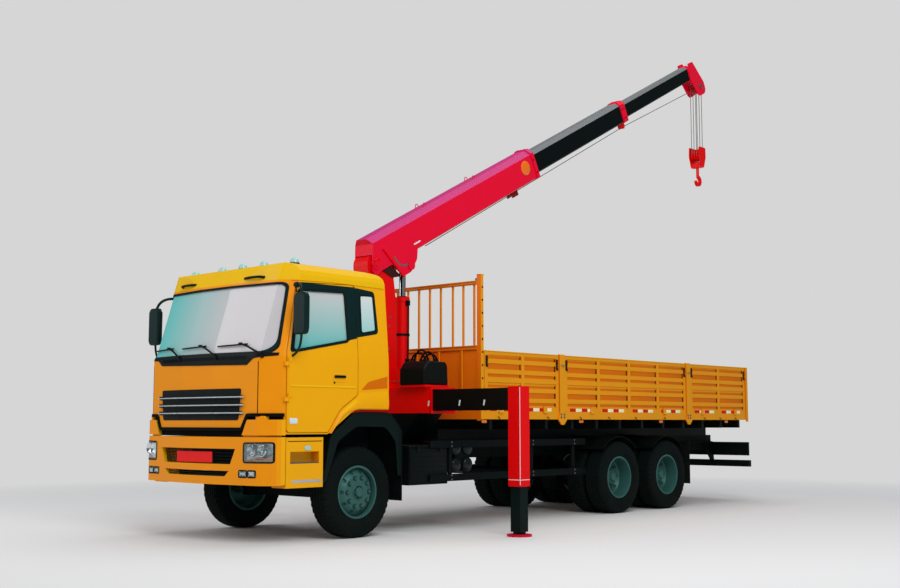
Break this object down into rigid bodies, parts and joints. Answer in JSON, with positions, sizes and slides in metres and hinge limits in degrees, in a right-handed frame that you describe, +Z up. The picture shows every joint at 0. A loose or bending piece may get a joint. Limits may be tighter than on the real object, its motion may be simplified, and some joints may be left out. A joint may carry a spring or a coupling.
{
  "type": "flatbed truck with telescopic loader crane",
  "caption": "Cab-over flatbed truck with a telescopic loader crane on a slewing column behind the cab, outriggers and a drop-side load bed.",
  "frame": {"origin": "on the ground at the middle of the overall length and width", "axes": "+X forward along the truck, +Y to its left, +Z up"},
  "size_m": [11.3524, 5.0634, 8.0091],
  "materials": {
    "cab_paint": "gloss yellow paint",
    "chassis_paint": "satin black chassis paint",
    "iron": "grey cast iron",
    "tyre": "black rubber",
    "wheel_paint": "blue-green wheel paint",
    "crane_paint": "gloss red paint",
    "bed_paint": "gloss yellow paint",
    "rod_chrome": "polished hard chrome",
    "glass": "tinted glass",
    "lamp_lens": "clear and coloured lenses",
    "dark_plastic": "black moulded plastic",
    "seat_cover": "grey seat cloth",
    "rope": "wire rope",
    "arm_paint": "satin black paint"
  },
  "bodies": {
    "chassis": {"frame": "chassis_paint", "engine": "iron", "axles": "iron", "bumper": "cab_paint", "lamps": "lamp_lens", "mudguards": "dark_plastic", "tanks": "chassis_paint", "guards": "chassis_paint", "bed_floor": "bed_paint", "headboard": "bed_paint", "bed_posts": "bed_paint", "crane_base": "crane_paint", "crane_controls": "dark_plastic"},
    "cab": {"cab_shell": "cab_paint", "cab_glass": "glass", "corner_panels": "cab_paint", "grille": "dark_plastic", "seats": "seat_cover", "dashboard": "dark_plastic", "roof_lamps": "lamp_lens"},
    "door_left": {"door_left": "cab_paint", "door_left_glass": "glass", "mirror_left": "dark_plastic"},
    "door_right": {"door_right": "cab_paint", "door_right_glass": "glass", "mirror_right": "dark_plastic"},
    "knuckle_left": {"knuckle_left": "iron"},
    "knuckle_right": {"knuckle_right": "iron"},
    "crane": {"column": "crane_paint"},
    "boom": {"boom_base": "crane_paint"},
    "boom_middle": {"boom_mid": "arm_paint"},
    "boom_end": {"boom_tip": "arm_paint"},
    "falls": {"hoist_falls": "rope"},
    "block": {"hook_block": "crane_paint"},
    "hook": {"hook": "crane_paint"},
    "luff_barrel": {"luff_barrel": "crane_paint"},
    "luff_rod": {"luff_rod": "rod_chrome"},
    "tailgate": {"tailgate": "bed_paint"},
    "wheel_front_left": {"tyre_front_left": "tyre", "rim_front_left": "wheel_paint"},
    "wheel_mid_left": {"tyre_mid_left": "tyre", "rim_mid_left": "wheel_paint"},
    "wheel_rear_left": {"tyre_rear_left": "tyre", "rim_rear_left": "wheel_paint"},
    "outrigger_left": {"outrigger_left": "arm_paint"},
    "leg_left": {"leg_left": "arm_paint"},
    "side_front_left": {"side_front_left": "bed_paint"},
    "side_middle_left": {"side_middle_left": "bed_paint"},
    "side_rear_left": {"side_rear_left": "bed_paint"},
    "wheel_front_right": {"tyre_front_right": "tyre", "rim_front_right": "wheel_paint"},
    "wheel_mid_right": {"tyre_mid_right": "tyre", "rim_mid_right": "wheel_paint"},
    "wheel_rear_right": {"tyre_rear_right": "tyre", "rim_rear_right": "wheel_paint"},
    "outrigger_right": {"outrigger_right": "arm_paint"},
    "leg_right": {"leg_right": "arm_paint"},
    "side_front_right": {"side_front_right": "bed_paint"},
    "side_middle_right": {"side_middle_right": "bed_paint"},
    "side_rear_right": {"side_rear_right": "bed_paint"}
  },
  "joints": [
    {"name": "steer_left", "type": "hinge", "parent": "chassis", "child": "knuckle_left", "pos_m": [4.17397, 0.85, 0.525], "axis": [0, 0, 1], "range_deg": [-35, 35]},
    {"name": "wheel_front_left_turn", "type": "hinge", "parent": "knuckle_left", "child": "wheel_front_left", "pos_m": [4.17397, 1.015, 0.525], "axis": [0, 1, 0], "continuous": true},
    {"name": "wheel_mid_left_turn", "type": "hinge", "parent": "chassis", "child": "wheel_mid_left", "pos_m": [-1.04603, 1.09, 0.525], "axis": [0, 1, 0], "continuous": true},
    {"name": "wheel_rear_left_turn", "type": "hinge", "parent": "chassis", "child": "wheel_rear_left", "pos_m": [-2.34603, 1.09, 0.525], "axis": [0, 1, 0], "continuous": true},
    {"name": "steer_right", "type": "hinge", "parent": "chassis", "child": "knuckle_right", "pos_m": [4.17397, -0.85, 0.525], "axis": [0, 0, 1], "range_deg": [-35, 35]},
    {"name": "wheel_front_right_turn", "type": "hinge", "parent": "knuckle_right", "child": "wheel_front_right", "pos_m": [4.17397, -1.015, 0.525], "axis": [0, 1, 0], "continuous": true},
    {"name": "wheel_mid_right_turn", "type": "hinge", "parent": "chassis", "child": "wheel_mid_right", "pos_m": [-1.04603, -1.09, 0.525], "axis": [0, 1, 0], "continuous": true},
    {"name": "wheel_rear_right_turn", "type": "hinge", "parent": "chassis", "child": "wheel_rear_right", "pos_m": [-2.34603, -1.09, 0.525], "axis": [0, 1, 0], "continuous": true},
    {"name": "cab_tilt", "type": "hinge", "parent": "chassis", "child": "cab", "pos_m": [5.44397, 0, 0.75], "axis": [0, 1, 0], "range_deg": [0, 45]},
    {"name": "door_left_open", "type": "hinge", "parent": "cab", "child": "door_left", "pos_m": [5.31897, 1.243, 2], "axis": [0, 0, -1], "range_deg": [0, 70]},
    {"name": "door_right_open", "type": "hinge", "parent": "cab", "child": "door_right", "pos_m": [5.31897, -1.243, 2], "axis": [0, 0, 1], "range_deg": [0, 70]},
    {"name": "slew", "type": "hinge", "parent": "chassis", "child": "crane", "pos_m": [2.72397, 0, 1.832], "axis": [0, 0, 1], "continuous": true},
    {"name": "luff", "type": "hinge", "parent": "crane", "child": "boom", "pos_m": [2.97397, 0, 3.4], "axis": [0, 1, 0], "range_deg": [-27.7, 50.3]},
    {"name": "barrel_swing", "type": "hinge", "parent": "crane", "child": "luff_barrel", "pos_m": [2.30897, 0, 1.945], "axis": [0, 1, 0], "range_deg": [-3, 6]},
    {"name": "rod_slide", "type": "slide", "parent": "luff_barrel", "child": "luff_rod", "axis": [-0.003, 0, 1], "range_m": [-0.3, 0.54]},
    {"name": "middle_extend", "type": "slide", "parent": "boom", "child": "boom_middle", "axis": [-0.8854, 0, 0.4648], "range_m": [-2.65, 0]},
    {"name": "end_extend", "type": "slide", "parent": "boom_middle", "child": "boom_end", "axis": [-0.8854, 0, 0.4648], "range_m": [-2.4, 0]},
    {"name": "rope_plumb", "type": "hinge", "parent": "boom_end", "child": "falls", "pos_m": [-5.51762, 0, 7.59841], "axis": [0, 1, 0], "range_deg": [-50.4, 27.8]},
    {"name": "hoist", "type": "slide", "parent": "falls", "child": "block", "axis": [0, 0, -1], "range_m": [-0.8, 5.6], "deforming": ["hoist_falls"]},
    {"name": "hook_swivel", "type": "hinge", "parent": "block", "child": "hook", "pos_m": [-5.51762, 0, 6.09841], "axis": [0, 0, 1], "continuous": true},
    {"name": "outrigger_left_slide", "type": "slide", "parent": "chassis", "child": "outrigger_left", "axis": [0, -1, 0], "range_m": [0, 1.21]},
    {"name": "leg_left_slide", "type": "slide", "parent": "outrigger_left", "child": "leg_left", "axis": [0, 0, 1], "range_m": [0, 0.5]},
    {"name": "outrigger_right_slide", "type": "slide", "parent": "chassis", "child": "outrigger_right", "axis": [0, 1, 0], "range_m": [0, 1.21]},
    {"name": "leg_right_slide", "type": "slide", "parent": "outrigger_right", "child": "leg_right", "axis": [0, 0, 1], "range_m": [-0.5, 0]},
    {"name": "side_front_left_drop", "type": "hinge", "parent": "chassis", "child": "side_front_left", "pos_m": [1.25397, 1.264, 1.4623], "axis": [-1, 0, 0], "range_deg": [0, 180]},
    {"name": "side_middle_left_drop", "type": "hinge", "parent": "chassis", "child": "side_middle_left", "pos_m": [-1.27603, 1.264, 1.4623], "axis": [-1, 0, 0], "range_deg": [0, 180]},
    {"name": "side_rear_left_drop", "type": "hinge", "parent": "chassis", "child": "side_rear_left", "pos_m": [-3.90603, 1.264, 1.4623], "axis": [-1, 0, 0], "range_deg": [0, 180]},
    {"name": "side_front_right_drop", "type": "hinge", "parent": "chassis", "child": "side_front_right", "pos_m": [1.25397, -1.264, 1.4623], "axis": [1, 0, 0], "range_deg": [0, 180]},
    {"name": "side_middle_right_drop", "type": "hinge", "parent": "chassis", "child": "side_middle_right", "pos_m": [-1.27603, -1.264, 1.4623], "axis": [1, 0, 0], "range_deg": [0, 180]},
    {"name": "side_rear_right_drop", "type": "hinge", "parent": "chassis", "child": "side_rear_right", "pos_m": [-3.90603, -1.264, 1.4623], "axis": [1, 0, 0], "range_deg": [0, 180]},
    {"name": "tailgate_drop", "type": "hinge", "parent": "chassis", "child": "tailgate", "pos_m": [-4.88003, 0, 1.4623], "axis": [0, -1, 0], "range_deg": [0, 110]}
  ],
  "couplings": [
    {"joint": "steer_right", "follows": "steer_left", "ratio": 1},
    {"joint": "barrel_swing", "follows": "luff", "ratio": 0.1},
    {"joint": "rod_slide", "follows": "luff", "m_per_rad": 0.6},
    {"joint": "rope_plumb", "follows": "luff", "ratio": -1}
  ]
}
